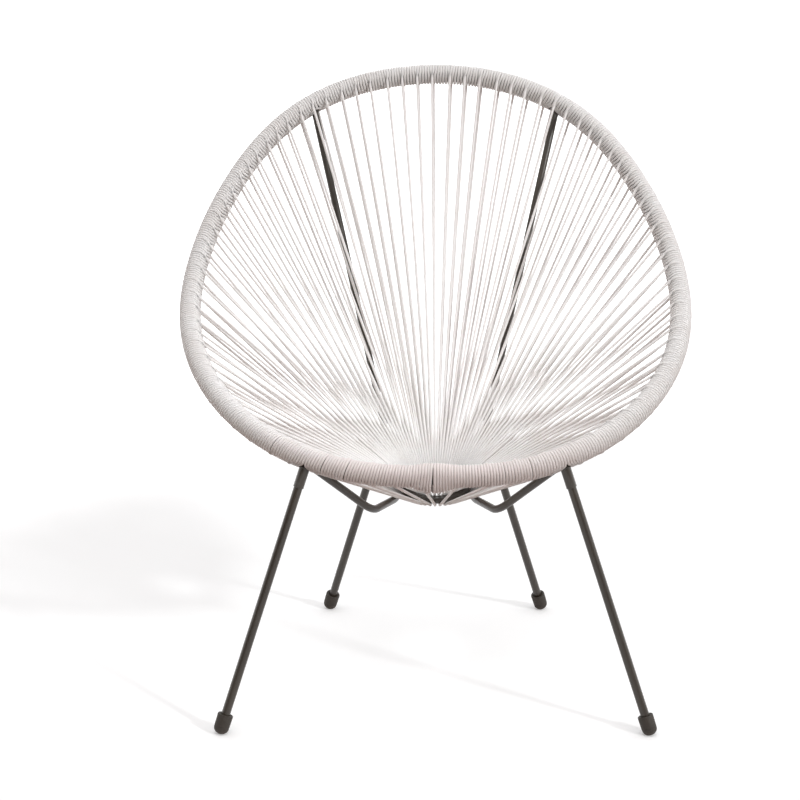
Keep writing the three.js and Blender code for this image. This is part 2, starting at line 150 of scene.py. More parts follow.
def powder_coated_steel():
    """Baked polyester powder on steel tube: near-black brown, low sheen, with the fine orange peel of the
    melted powder. The peel is 1 to 2 mm across, and the dust that settles on it is lighter in broad, faint
    patches."""
    material, tree = new_material("powder_coated_steel")
    place = add(tree, "ShaderNodeTexCoord").outputs["Object"]
    patches = add(tree, "ShaderNodeTexNoise", {
        "Vector": place, "Scale": 9.0, "Detail": 3.0, "Roughness": 0.6}).outputs["Fac"]
    peel = add(tree, "ShaderNodeTexNoise", {"Vector": place, "Scale": 700.0, "Detail": 2.0, "Roughness": 0.5})
    grit = add(tree, "ShaderNodeTexVoronoi", {"Vector": place, "Scale": 900.0})
    colour = colour_ramp(tree, patches, [(0.3, "#352E27"), (0.55, "#3B342C"), (0.8, "#443C33")])
    speck = add(tree, "ShaderNodeMapRange", {
        "Value": grit.outputs["Distance"], "From Min": 0.0, "From Max": 0.35, "To Min": 1.0, "To Max": 0.0})
    tone = add(tree, "ShaderNodeMix", {
        0: speck.outputs["Result"], 6: colour, 7: linear("#554D43")}, data_type="RGBA")
    half = add(tree, "ShaderNodeMix", {0: 0.35, 6: colour, 7: tone.outputs[2]}, data_type="RGBA")
    rough = add(tree, "ShaderNodeMapRange", {"Value": patches, "To Min": 0.3, "To Max": 0.42})
    bump = add(tree, "ShaderNodeBump", {"Height": peel.outputs["Fac"], "Strength": 0.25, "Distance": 0.0002})
    shader = add(tree, "ShaderNodeBsdfPrincipled", {
        "Base Color": half.outputs[2], "Roughness": rough.outputs["Result"], "Metallic": 0.0, "IOR": 1.5,
        "Coat Weight": 0.3, "Coat Roughness": 0.24, "Normal": bump.outputs["Normal"]})
    add(tree, "ShaderNodeOutputMaterial", {"Surface": shader.outputs["BSDF"]})
    return material


def extruded_pvc_cord():
    """Soft PVC extruded over a core: white, smooth and faintly glossy. The die leaves fine lines along it,
    about 0.4 mm apart, and its tone differs a little at random. Towards the front edge it is painted a
    warmer, darker shade, which stands in for the shade that falls there. The lines are drawn deeper than they
    are."""
    material, tree = new_material("extruded_pvc_cord")
    along = add(tree, "ShaderNodeAttribute", attribute_name="cord_length").outputs["Fac"]
    around = add(tree, "ShaderNodeAttribute", attribute_name="cord_round").outputs["Fac"]
    place = add(tree, "ShaderNodeTexCoord").outputs["Object"]
    patches = add(tree, "ShaderNodeTexNoise", {
        "Vector": place, "Scale": 22.0, "Detail": 4.0, "Roughness": 0.6})
    turn = add(tree, "ShaderNodeMath", {0: around, 1: 2 * math.pi}, operation="MULTIPLY")
    cosine = add(tree, "ShaderNodeMath", {0: turn.outputs[0]}, operation="COSINE")
    sine = add(tree, "ShaderNodeMath", {0: turn.outputs[0]}, operation="SINE")
    skin_place = add(tree, "ShaderNodeCombineXYZ", {"X": cosine.outputs[0], "Y": sine.outputs[0], "Z": along})
    stretched = add(tree, "ShaderNodeMapping", {"Vector": skin_place.outputs[0], "Scale": (5.0, 5.0, 9.0)})
    lines = add(tree, "ShaderNodeTexNoise", {"Vector": stretched.outputs[0], "Scale": 1.0, "Detail": 2.0})
    unshaded_tone = colour_ramp(tree, patches.outputs["Fac"], [(0.3, "#EFECEA"), (0.5, "#F5F4F3"), (0.75, "#F7F7F7")])
    depth = add(tree, "ShaderNodeSeparateXYZ", {"Vector": place}).outputs["Y"]
    # Painted shade: towards the front edge the cord is mixed to a warmer, darker colour, standing in for the
    # shade that falls on the front of the hoop.
    wear_and_painted_shade = add(tree, "ShaderNodeMapRange", {"Value": depth, "From Min": -0.2, "From Max": -0.31})
    colour = add(tree, "ShaderNodeMix", {
        0: wear_and_painted_shade.outputs["Result"], 6: unshaded_tone, 7: linear("#E8DAD8")}, data_type="RGBA")
    rough = add(tree, "ShaderNodeMapRange", {"Value": lines.outputs["Fac"], "To Min": 0.34, "To Max": 0.5})
    bump = add(tree, "ShaderNodeBump", {"Height": lines.outputs["Fac"], "Strength": 0.2, "Distance": 0.0002})
    shader = add(tree, "ShaderNodeBsdfPrincipled", {
        "Base Color": colour.outputs[2], "Roughness": rough.outputs["Result"], "IOR": 1.53,
        "Subsurface Weight": 0.9, "Subsurface Radius": (1.0, 0.98, 0.97), "Subsurface Scale": 0.006,
        "Normal": bump.outputs["Normal"]})
    add(tree, "ShaderNodeOutputMaterial", {"Surface": shader.outputs["BSDF"]})
    return material


def moulded_foot_plastic():
    """Injection-moulded polyethylene: matt brown-black from a spark-eroded mould, scuffed paler where it
    meets the floor. The mould's texture is about 0.5 mm across."""
    material, tree = new_material("moulded_foot_plastic")
    place = add(tree, "ShaderNodeTexCoord").outputs["Object"]
    height = add(tree, "ShaderNodeSeparateXYZ", {"Vector": place}).outputs["Z"]
    grain = add(tree, "ShaderNodeTexNoise", {"Vector": place, "Scale": 1600.0, "Detail": 2.0})
    scuffs = add(tree, "ShaderNodeTexNoise", {
        "Vector": place, "Scale": 220.0, "Detail": 4.0, "Roughness": 0.7}).outputs["Fac"]
    low = add(tree, "ShaderNodeMapRange", {
        "Value": height, "From Min": 0.0, "From Max": 0.007, "To Min": 1.0, "To Max": 0.0})
    wear_and_painted_shade = add(tree, "ShaderNodeMath", {0: low.outputs["Result"], 1: scuffs}, operation="MULTIPLY")
    body = colour_ramp(tree, scuffs, [(0.3, "#37322D"), (0.7, "#433D37")])
    colour = add(tree, "ShaderNodeMix", {0: wear_and_painted_shade.outputs[0], 6: body, 7: linear("#857C73")}, data_type="RGBA")
    bump = add(tree, "ShaderNodeBump", {"Height": grain.outputs["Fac"], "Strength": 0.3, "Distance": 0.0001})
    shader = add(tree, "ShaderNodeBsdfPrincipled", {
        "Base Color": colour.outputs[2], "Roughness": 0.62, "IOR": 1.5, "Normal": bump.outputs["Normal"]})
    add(tree, "ShaderNodeOutputMaterial", {"Surface": shader.outputs["BSDF"]})
    return material


STEEL = powder_coated_steel()
CORD = extruded_pvc_cord()
CAP = moulded_foot_plastic()


# The hoop's centre line


def hoop_points(angles):
    side = sum(w * np.sin((i + 1) * angles) for i, w in enumerate(WIDTH_WAVES))
    reach = sum(w * (1 - np.cos((i + 1) * angles)) for i, w in enumerate(LENGTH_WAVES))
    run = HOOP_LENGTH / 2 * reach
    start, end = HOOP_LENGTH * RISE_BEND[0], HOOP_LENGTH * RISE_BEND[1]
    bend = (end - start) / (RISE[1] - RISE[0])
    flat, rest = np.minimum(run, start), np.maximum(run - end, 0)
    rise = RISE[0] + (np.clip(run, start, end) - start) / bend
    return np.stack([
        HOOP_WIDTH / 2 * side,
        HOOP_FRONT[0] + flat * math.cos(RISE[0]) + bend * (np.sin(rise) - math.sin(RISE[0]))
        + rest * math.cos(RISE[1]),
        HOOP_FRONT[1] + flat * math.sin(RISE[0]) + bend * (math.cos(RISE[0]) - np.cos(rise))
        + rest * math.sin(RISE[1]),
    ], axis=-1)


HOOP_SAMPLES = 7200
TANGENT_STEP = 6.0
line_points = hoop_points(np.linspace(0, 2 * math.pi, HOOP_SAMPLES + 1))
line_lengths = np.concatenate([[0], np.cumsum(np.linalg.norm(np.diff(line_points, axis=0), axis=1))])
HOOP_ROUND = line_lengths[-1]


def hoop_at(distance):
    """Points of the hoop's centre line at distances round it from the front."""
    wrapped = np.mod(distance, HOOP_ROUND)
    return np.stack([np.interp(wrapped, line_lengths, line_points[:, i]) for i in range(3)], axis=-1)


def unit(vectors):
    return vectors / np.linalg.norm(vectors, axis=-1, keepdims=True)


def hoop_frame(distance):
    """Centre, tangent, and the directions up and inward across the tube."""
    distance = np.asarray(distance, float)
    along = unit(hoop_at(distance + TANGENT_STEP) - hoop_at(distance - TANGENT_STEP))
    up = unit(UP - (along @ UP)[..., None] * along)
    return hoop_at(distance), along, up, -np.cross(along, up)


def loop_distances():
    """Distance round the hoop of each loop from the front, wider apart there, for places 0 to LOOPS / 2."""
    half = line_lengths[: HOOP_SAMPLES // 2 + 1]
    middle = (half[1:] + half[:-1]) / 2
    at_front = np.exp(-((middle / FRONT_REACH) ** 4))
    steps = np.diff(half) / (LOOP_SPACING + (FRONT_LOOP_SPACING - LOOP_SPACING) * at_front)
    counted = np.concatenate([[0], np.cumsum(steps)])
    return half, counted / counted[-1] * LOOPS / 2


PLACE_LENGTHS, PLACE_LOOPS = loop_distances()


def distance_of(place):
    """Distance round the hoop of a place counted in loops, negative on one side and positive on the other."""
    wrapped = place - LOOPS * round(place / LOOPS)
    return math.copysign(np.interp(abs(wrapped), PLACE_LOOPS, PLACE_LENGTHS), wrapped)


# The small ring


def turned_about_x(vector, angle):
    return np.array(Matrix.Rotation(angle, 3, "X") @ Vector(vector))


RING_CENTRE = np.array((0.0, RING_SETBACK, RING_HEIGHT))
RING_NORMAL = turned_about_x(UP, RING_TILT)


def ring_outward(turn):
    return turned_about_x((math.sin(turn), -math.cos(turn), 0), RING_TILT)


def ring_at(turn):
    return RING_CENTRE + RING_RADIUS * ring_outward(turn)


def hook_turn(place):
    """Where on the ring a loop hooks, as a turn from the front, half way between even steps and the straight
    line."""
    wrapped = place - LOOPS * round(place / LOOPS)
    even = 2 * math.pi * wrapped / LOOPS
    point = hoop_at(distance_of(wrapped))
    straight = even if abs(wrapped) == LOOPS / 2 else math.atan2(point[0], RING_SETBACK - point[1])
    return even + (straight - even) / 2


# Geometry node trees


def new_tree(name, sockets):
    tree = bpy.data.node_groups.new(name, "GeometryNodeTree")
    tree.interface.new_socket(name="Geometry", in_out="INPUT", socket_type="NodeSocketGeometry")
    for label, kind, value in sockets:
        socket = tree.interface.new_socket(name=label, in_out="INPUT", socket_type=kind)
        if value is not None:
            socket.default_value = value
    tree.interface.new_socket(name="Geometry", in_out="OUTPUT", socket_type="NodeSocketGeometry")
    return tree, add(tree, "NodeGroupInput")


def close_tree(tree, entry, geometry):
    """Makes what a tree has grown smooth and real, in the material it is given."""
    smooth = add(tree, "GeometryNodeSetShadeSmooth", {"Geometry": geometry, "Shade Smooth": True})
    real = add(tree, "GeometryNodeRealizeInstances", {"Geometry": smooth.outputs["Geometry"]})
    painted = add(tree, "GeometryNodeSetMaterial", {
        "Geometry": real.outputs["Geometry"], "Material": entry.outputs["Material"]})
    add(tree, "NodeGroupOutput", {0: painted.outputs["Geometry"]})
    return tree


def cord_tree():
    """A cord swept along guide points. Each point says round what centre it turns, how far it has turned and
    at what reach, so one rule lays the turns on the hoop, the straight strands (no reach) and the hooks on
    the ring."""
    tree, entry = new_tree("cord_laid_in_turns", [
        ("Cord radius", "NodeSocketFloat", CORD_RADIUS * MM), ("Sides", "NodeSocketInt", CORD_SIDES),
        ("Material", "NodeSocketMaterial", None)])
    kinds = {"turn": "FLOAT", "reach": "FLOAT", "up": "FLOAT_VECTOR", "inward": "FLOAT_VECTOR"}
    read = {}
    for name, kind in kinds.items():
        stored = add(tree, "GeometryNodeInputNamedAttribute", {"Name": name}, data_type=kind)
        read[name] = stored.outputs["Attribute"]
    parts = []
    for name, operation in (("up", "COSINE"), ("inward", "SINE")):
        share = add(tree, "ShaderNodeMath", {0: read["turn"]}, operation=operation)
        length = add(tree, "ShaderNodeMath", {0: share.outputs[0], 1: read["reach"]}, operation="MULTIPLY")
        part = add(tree, "ShaderNodeVectorMath", {
            0: read[name], "Scale": length.outputs[0]}, operation="SCALE")
        parts.append(part.outputs[0])
    offset = add(tree, "ShaderNodeVectorMath", {0: parts[0], 1: parts[1]}, operation="ADD")
    laid = add(tree, "GeometryNodeSetPosition", {
        "Geometry": entry.outputs["Geometry"], "Offset": offset.outputs[0]})
    line = add(tree, "GeometryNodeMeshToCurve", {"Mesh": laid.outputs["Geometry"]})
    length = add(tree, "GeometryNodeSplineParameter").outputs["Length"]
    marked = add(tree, "GeometryNodeStoreNamedAttribute", {
        "Geometry": line.outputs["Curve"], "Name": "cord_length", "Value": length}, data_type="FLOAT",
        domain="POINT")
    section = add(tree, "GeometryNodeCurvePrimitiveCircle", {
        "Resolution": entry.outputs["Sides"], "Radius": entry.outputs["Cord radius"]})
    factor = add(tree, "GeometryNodeSplineParameter").outputs["Factor"]
    marked_section = add(tree, "GeometryNodeStoreNamedAttribute", {
        "Geometry": section.outputs["Curve"], "Name": "cord_round", "Value": factor}, data_type="FLOAT",
        domain="POINT")
    swept = add(tree, "GeometryNodeCurveToMesh", {
        "Curve": marked.outputs["Geometry"], "Profile Curve": marked_section.outputs["Geometry"],
        "Fill Caps": True})
    return close_tree(tree, entry, swept.outputs["Mesh"])


def bar_tree():
    """A round bar or tube bent along guide points, closed into a ring where the guide is."""
    tree, entry = new_tree("bent_round_bar", [
        ("Radius", "NodeSocketFloat", ROD_RADIUS * MM), ("Sides", "NodeSocketInt", BAR_SIDES),
        ("Material", "NodeSocketMaterial", None)])
    line = add(tree, "GeometryNodeMeshToCurve", {"Mesh": entry.outputs["Geometry"]})
    section = add(tree, "GeometryNodeCurvePrimitiveCircle", {
        "Resolution": entry.outputs["Sides"], "Radius": entry.outputs["Radius"]})
    swept = add(tree, "GeometryNodeCurveToMesh", {
        "Curve": line.outputs["Curve"], "Profile Curve": section.outputs["Curve"], "Fill Caps": True})
    return close_tree(tree, entry, swept.outputs["Mesh"])


def bead_tree():
    """A weld bead: small overlapping ripples along guide points."""
    tree, entry = new_tree("weld_bead", [
        ("Ripple spacing", "NodeSocketFloat", RIPPLE_SPACING * MM),
        ("Ripple radius", "NodeSocketFloat", BEAD_RADIUS * MM),
        ("Seed", "NodeSocketInt", 3), ("Material", "NodeSocketMaterial", None)])
    line = add(tree, "GeometryNodeMeshToCurve", {"Mesh": entry.outputs["Geometry"]})
    spaced = add(tree, "GeometryNodeResampleCurve", {
        "Curve": line.outputs["Curve"], "Length": entry.outputs["Ripple spacing"]}, mode="LENGTH")
    drop = add(tree, "GeometryNodeMeshIcoSphere", {
        "Radius": entry.outputs["Ripple radius"], "Subdivisions": 2})
    tangent = add(tree, "GeometryNodeInputTangent")
    turned = add(tree, "FunctionNodeAlignRotationToVector", {"Vector": tangent.outputs["Tangent"]}, axis="Z")
    size = add(tree, "FunctionNodeRandomValue", {2: 0.85, 3: 1.12, "Seed": entry.outputs["Seed"]},
               data_type="FLOAT")
    shape = add(tree, "ShaderNodeCombineXYZ", {"X": size.outputs[1], "Y": size.outputs[1], "Z": 0.7})
    drops = add(tree, "GeometryNodeInstanceOnPoints", {
        "Points": spaced.outputs["Curve"], "Instance": drop.outputs["Mesh"],
        "Rotation": turned.outputs["Rotation"], "Scale": shape.outputs[0]})
    return close_tree(tree, entry, drops.outputs["Instances"])


CORD_TREE, BAR_TREE, BEAD_TREE = cord_tree(), bar_tree(), bead_tree()


# Making pieces


def link(name, data):
    piece = bpy.data.objects.new(name, data)
    bpy.context.scene.collection.objects.link(piece)
    return piece


def guide(points, closed=False, floats=(), vectors=()):
    """Guide points in millimetres as an edge mesh in metres, with values on the points."""
    count = len(points)
    edges = [(i, i + 1) for i in range(count - 1)] + ([(count - 1, 0)] if closed else [])
    mesh = bpy.data.meshes.new("guide")
    mesh.from_pydata([tuple(p) for p in (np.asarray(points) + PART_SHIFT) * MM], edges, [])
    for name, values in dict(floats).items():
        mesh.attributes.new(name, "FLOAT", "POINT").data.foreach_set("value", np.asarray(values, np.float32))
    for name, values in dict(vectors).items():
        mesh.attributes.new(name, "FLOAT_VECTOR", "POINT").data.foreach_set(
            "vector", np.asarray(values, np.float32).ravel())
    return mesh


def grow(name, mesh, tree, material, **values):
    """Runs a tree on a guide and returns what it makes as a plain mesh object."""
    seed = link(name + ".guide", mesh)
    modifier = seed.modifiers.new("grow", "NODES")
    modifier.node_group = tree
    wanted = {"Material": material, **{k.replace("_", " "): v for k, v in values.items()}}
    for socket in tree.interface.items_tree:
        if socket.in_out == "INPUT" and socket.name in wanted:
            modifier[socket.identifier] = wanted[socket.name]
    bpy.context.view_layer.update()
    made = bpy.data.meshes.new_from_object(
        seed.evaluated_get(bpy.context.evaluated_depsgraph_get()), preserve_all_data_layers=True,
        depsgraph=bpy.context.evaluated_depsgraph_get())
    bpy.data.objects.remove(seed)
    return link(name, made)


def across_axis(axis):
    """Two directions at right angles to an axis and to each other."""
    first = unit(np.cross(axis, (1.0, 0.0, 0.0)))
    return first, np.cross(axis, first)


def turned_piece(name, outline, base, axis, sides, material, closed=False):
    """A body turned about an axis from (distance along it, radius) pairs. A closed outline makes a tube, and
    an open one starts and ends on the axis or gets flat ends."""
    axis = unit(np.asarray(axis, float))
    first, second = across_axis(axis)
    turns = [2 * math.pi * j / sides for j in range(sides)]
    body = bmesh.new()
    rings = []
    for distance, radius in outline:
        centre = np.asarray(base) + axis * distance
        if radius == 0:
            rings.append([body.verts.new((centre + PART_SHIFT) * MM)])
        else:
            rings.append([body.verts.new((centre + radius * (first * math.cos(t) + second * math.sin(t))
                                          + PART_SHIFT) * MM) for t in turns])
    for low, high in zip(rings, rings[1:] + ([rings[0]] if closed else [])):
        for j in range(sides):
            k = (j + 1) % sides
            corners = [low[j % len(low)], low[k % len(low)], high[k % len(high)], high[j % len(high)]]
            body.faces.new(list(dict.fromkeys(corners)))
    if not closed:
        for ring in (rings[0], rings[-1]):
            if len(ring) > 1:
                body.faces.new(ring)
    bmesh.ops.recalc_face_normals(body, faces=body.faces)
    mesh = bpy.data.meshes.new(name)
    body.to_mesh(mesh)
    body.free()
    mesh.shade_smooth()
    mesh.materials.append(material)
    piece = link(name, mesh)
    mesh.set_sharp_from_angle(angle=SHARP_EDGE)
    return piece


def joined(name, pieces):
    """Several pieces as one object under one name."""
    body = bmesh.new()
    for piece in pieces:
        body.from_mesh(piece.data)
    mesh = bpy.data.meshes.new(name)
    mesh.materials.append(pieces[0].data.materials[0])
    body.to_mesh(mesh)
    body.free()
    for piece in pieces:
        bpy.data.objects.remove(piece)
    return link(name, mesh)


def settle(piece, slot, *nodes):
    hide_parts(*nodes)
    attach(piece, "root")


# The rods' and legs' centre lines


def rounded_path(corners, radii, steps):
    """A path with every inner corner rounded, and the middle of each bend."""
    points, middles = [corners[0]], []
    for i, radius in enumerate(radii):
        corner = corners[i + 1]
        back, ahead = unit(corners[i] - corner), unit(corners[i + 2] - corner)
        half = math.acos(back @ ahead) / 2
        centre = corner + unit(back + ahead) * radius / math.sin(half)
        start = corner + back * radius / math.tan(half) - centre
        end = corner + ahead * radius / math.tan(half) - centre
        sweep = math.acos(np.clip(start @ end / radius**2, -1, 1))
        spread = [(start * math.sin(sweep * (1 - t)) + end * math.sin(sweep * t)) / math.sin(sweep)
                  for t in np.linspace(0, 1, steps + 1)]
        points += [centre + s for s in spread]
        middles.append(centre + spread[steps // 2])
    return points + [corners[-1]], middles


PLATE_TURN = hook_turn(PLATE_LOOP)


def rod_path(side):
    under = ring_at(side * PLATE_TURN) + (side * UNDER_RING_OUTSET, 0, 0)
    under[2] -= RING_TUBE_RADIUS + 2 * CORD_RADIUS + ROD_TO_STRAND + ROD_RADIUS
    front = hoop_at(distance_of(side * ROD_FRONT_LOOP)) - (0, 0, ROD_FRONT_DROP)
    return rounded_path([
        hoop_at(distance_of(side * ROD_BACK_LOOP)), np.array((side * KNEE[0], KNEE[1], KNEE[2])), under,
        np.array((side * FRONT_BEND[0], FRONT_BEND[1], FRONT_BEND[2])), front,
    ], [KNEE_BEND, UNDER_RING_BEND, FRONT_BEND_RADIUS], ROD_BEND_STEPS)


def leg_line(end, side):
    top = hoop_at(distance_of(side * SLEEVE_LOOP)) if end == "front" else rod_path(side)[1][0]
    foot = np.array((side * FEET[end][0], FEET[end][1], 0.0))
    return top, foot, unit(foot - top)


# The winding. Whole turns lie between two loops, so each loop leaves the hoop at the nearest turn.

TURNS_ROUND = round(HOOP_ROUND / TURN_PITCH)
PITCH = HOOP_ROUND / TURNS_ROUND
WINDING_REACH = HOOP_TUBE_RADIUS + CORD_RADIUS

# The loops at the front stand a little to the left, fading over four loops.
FRONT_OFFSET, FRONT_OFFSET_REACH = -11.0, 4.0

# A loop clings to the hoop for a while, bends into the turns over the slide, and rises out of them or over
# turns that are laid already, in full from the steep slant on. Its own cord eases over this share of a turn.
CLING = 0.45
SLIDE, RISE_SLIDES, ROD_SLIDES = 13.0, 1.5, 2.0
CROSSING_LIFT, LEAVING_LIFT, STEEP_SLANT = 2.2, 1.3, 0.2
OWN_TURN = 0.22

# Turns beside a loop follow its bend, less from turn to turn, and close its gap on the inside of the hoop. A
# rounded bend fades within this share of its reach.
FOLLOW, FOLLOW_BEFORE, FOLLOW_UNDER = 0.97, 0.94, 0.3
NEIGHBOURS, ROUNDED = 3.2, 0.6
GAP_CLOSING, INSIDE_SPREAD = 0.92, 1.8

# Lean of the turns, and the places where they are loose: distance from the front and width of the gap.
TURN_LEAN = {"right": -0.65, "back": 0.3, "left": 2.4, "seam": 0.6}
SEAM_REACH = 45.0
LOOSE_PLACES = (
    (-3.0, 2.1), (-20.5, 0.5), (-121.0, 0.8), (-152.0, 0.9), (96.0, 0.5), (131.0, 0.6), (-230.0, 0.6))
GAP_EDGE, GAP_FADE = 0.15 * PITCH, 4 * PITCH
TURN_JITTER = 0.13
loose_turns = random.uniform(-TURN_JITTER, TURN_JITTER, TURNS_ROUND)

# The bulge at the front, the parting beside rods and sleeves, and the step aside of the loop at a rod's back
# end.
CORD_ENDS = {"middle": -1.5, "reach": 31.0, "above": 3.2, "below": 8.0}
PART_REACH, PART_WIDTH = 26.0, 1.05
BAR_CLEARANCE = 0.3
BESIDE_ROD, BESIDE_ROD_LIFT = 9.5, 4.0


def loop_turn(k):
    """Number of whole turns between the front and loop k."""
    wrapped = (k + LOOPS // 2) % LOOPS - LOOPS // 2
    shift = FRONT_OFFSET * math.exp(-((wrapped / FRONT_OFFSET_REACH) ** 2))
    return round((distance_of(wrapped) + shift) / PITCH) + TURNS_ROUND * round((k - wrapped) / LOOPS)


def ring_place(k):
    """The loop's turn round the ring, pushed clear of the weld plates."""
    turn = hook_turn(k) + hook_jitter[k % LOOPS] / RING_RADIUS
    for side in (-1, 1):
        gap = (turn - hook_turn(side * PLATE_LOOP)) * RING_RADIUS
        if abs(gap) < PLATE_PUSH_REACH:
            turn += math.copysign(PLATE_PUSH * math.exp(-abs(gap) / PLATE_PUSH_FADE), gap) / RING_RADIUS
    return turn


def leaving_loop(k):
    """How loop k leaves the hoop: its slant, the turns at which it goes and comes back, and the side it must
    pass. The cord clings to the hoop a little past the point where it could leave."""
    turns, ring_turn = loop_turn(k), ring_place(k)
    centre, along, up, inward = hoop_frame(turns * PITCH)
    slope = ring_at(ring_turn) - centre
    slant = (slope @ along) / np.linalg.norm(slope - (slope @ along) * along)
    lift = unit(np.cross(along, slope))
    lift = lift if lift[2] > 0 else -lift
    top = math.atan2(lift @ inward, lift @ up)
    side = 0
    for way in (-1, 1):
        if abs(distance_of(k) - distance_of(way * ROD_BACK_LOOP)) < LOOP_SPACING / 3:
            side = way
    leaves, returns = top + CLING, top + math.pi - CLING
    return {"slant": slant, "ring_turn": ring_turn, "top": top, "leaves": leaves, "returns": returns,
            "goes": turns + leaves / (2 * math.pi), "back": turns + returns / (2 * math.pi), "rod_side": side}


def bar_in_the_way(place, target, radius):
    """A rod or sleeve that the turns part round: its distance round the hoop, its turn there and its
    clearance."""
    distance = distance_of(place)
    centre, _, up, inward = hoop_frame(distance)
    direction = target - centre
    return distance, math.atan2(direction @ inward, direction @ up), radius + CORD_RADIUS + BAR_CLEARANCE


BARS = []
for side in (-1, 1):
    path = rod_path(side)[0]
    BARS.append(bar_in_the_way(side * ROD_BACK_LOOP, path[1], ROD_RADIUS))
    BARS.append(bar_in_the_way(side * ROD_FRONT_LOOP, path[-2], ROD_RADIUS))
    BARS.append(bar_in_the_way(side * SLEEVE_LOOP, leg_line("front", side)[1], SLEEVE_RADIUS))


def from_front(distance):
    """A distance round the hoop as the shorter way from the front, negative on the left."""
    return np.mod(distance + HOOP_ROUND / 2, HOOP_ROUND) - HOOP_ROUND / 2


def parted(distance, angle):
    """Turns near a rod or sleeve bend away from it and crowd together beside it."""
    moved = distance.copy()
    for middle, facing, clearance in BARS:
        off = from_front(moved - middle)
        swing = np.mod(angle - facing + math.pi, 2 * math.pi) - math.pi
        width = clearance * np.exp(-((WINDING_REACH * swing / (PART_WIDTH * clearance)) ** 4))
        pushed = np.sign(off) * (width + np.abs(off) * (1 - width / PART_REACH))
        moved += np.where(np.abs(off) < PART_REACH, pushed - off, 0)
    return moved


def lean_and_slack(distance, angle):
    """Turns lean more on one side of the seam than on the other, and are a little loose in some places."""
    place = from_front(distance)
    half = HOOP_ROUND / 2
    lean = TURN_LEAN
    right = lean["right"] + (lean["back"] - lean["right"]) * place / half
    left = (lean["back"] + (lean["left"] - lean["back"]) * np.clip(1 + place / half, 0, 1) ** 1.5
            + (lean["seam"] - lean["left"]) * np.exp(-np.abs(place) / SEAM_REACH))
    seam = LOOSE_PLACES[0][0]
    across = (1 + np.tanh((place - seam) / GAP_EDGE)) / 2
    leaning = (right * across + left * (1 - across)) * np.cos(angle)
    slack = sum(width / 2 * np.tanh((place - where) / GAP_EDGE) * np.exp(-np.abs(place - where) / GAP_FADE)
                for where, width in LOOSE_PLACES)
    loose = np.interp(np.mod(distance / PITCH, TURNS_ROUND), np.arange(TURNS_ROUND), loose_turns)
    return leaning + slack + loose


def over_cord_ends(distance, angle):
    """How far the turns stand out at the front, where both ends of the cord lie under them."""
    share = np.clip(1 - ((from_front(distance) - CORD_ENDS["middle"]) / CORD_ENDS["reach"]) ** 2, 0, 1)
    height = np.cos(angle)
    return share * np.where(height > 0, CORD_ENDS["above"], CORD_ENDS["below"]) * height**2


def near(angle, middle, reach, rounded=False):
    """1 at the middle angle, falling to 0 at a reach in millimetres round the winding, from a point or
    rounded."""
    swing = np.abs(np.mod(angle - middle + math.pi, 2 * math.pi) - math.pi) * WINDING_REACH / reach
    return np.exp(-((swing / ROUNDED) ** 2)) if rounded else np.clip(1 - swing, 0, 1) ** 2


def winding_between(k):
    """Centre, up, inward, angle and reach of the turns laid between loop k and the next."""
    here, after = LOOPS_LEAVING[k % LOOPS], LOOPS_LEAVING[(k + 1) % LOOPS]
    round_trip = (k // LOOPS * TURNS_ROUND, (k + 1) // LOOPS * TURNS_ROUND)
    start, end = here["back"] + round_trip[0], after["goes"] + round_trip[1]
    turns = np.linspace(start, end, int((end - start) * TURN_STEPS) + 1)
    angle = 2 * math.pi * turns
    distance = turns * PITCH
    reach = np.full(len(turns), WINDING_REACH)

    # Where a loop has left, part of a turn is missing on the inside of the hoop, and the turns beside it
    # close up. The gap's middle is taken a quarter turn before the start, and the next gap's as far after
    # the end.
    past = turns - (start - 0.25)
    count = end - start + 0.5
    middle = (here["top"] + after["top"]) / 2 + math.pi / 2
    inside = np.clip(INSIDE_SPREAD * np.cos(angle - middle), 0, 1)
    inside *= inside * (3 - 2 * inside)
    distance += GAP_CLOSING * PITCH * (past - count / 2) / (count - 1) * inside

    # Each loop bends from its slant into the turns, and draws or pushes its neighbours along. On the side
    # where it lies over turns that are laid already, it rises and leaves them where they are.
    both_loops = ((here, turns - start, here["slant"] > 0), (after, end - turns, after["slant"] < 0))
    for loop, way, laid_over in both_loops:
        ends = (loop["leaves"], loop["returns"])
        bend = sum(near(angle, end, SLIDE) for end in ends)
        drawn = sum(near(angle, end, SLIDE, rounded=True) for end in ends)
        own = np.exp(-((way / OWN_TURN) ** 2))
        follow = FOLLOW if loop is here else (FOLLOW_UNDER if laid_over else FOLLOW_BEFORE)
        follow = follow * np.exp(-way / NEIGHBOURS)
        distance += loop["slant"] * SLIDE / 2 * (bend * own + drawn * (1 - own) * follow)
        lift = CROSSING_LIFT if laid_over and loop is after else LEAVING_LIFT
        own_lift = lift * min(abs(loop["slant"]) / STEEP_SLANT, 1)
        if loop is here and loop["rod_side"]:
            distance += loop["rod_side"] * BESIDE_ROD * near(angle, loop["returns"], ROD_SLIDES * SLIDE) * own
            own_lift = BESIDE_ROD_LIFT
        rise = np.clip(1 - way * 2 * math.pi * WINDING_REACH / (RISE_SLIDES * SLIDE), 0, 1)
        reach += own_lift * rise * rise * (3 - 2 * rise)

    distance = distance + lean_and_slack(distance, angle)
    distance = parted(distance, angle)
    reach += over_cord_ends(distance, angle)
    centre, _, up, inward = hoop_frame(distance)
    return centre, up, inward, angle, reach


# The strands and their hooks on the ring

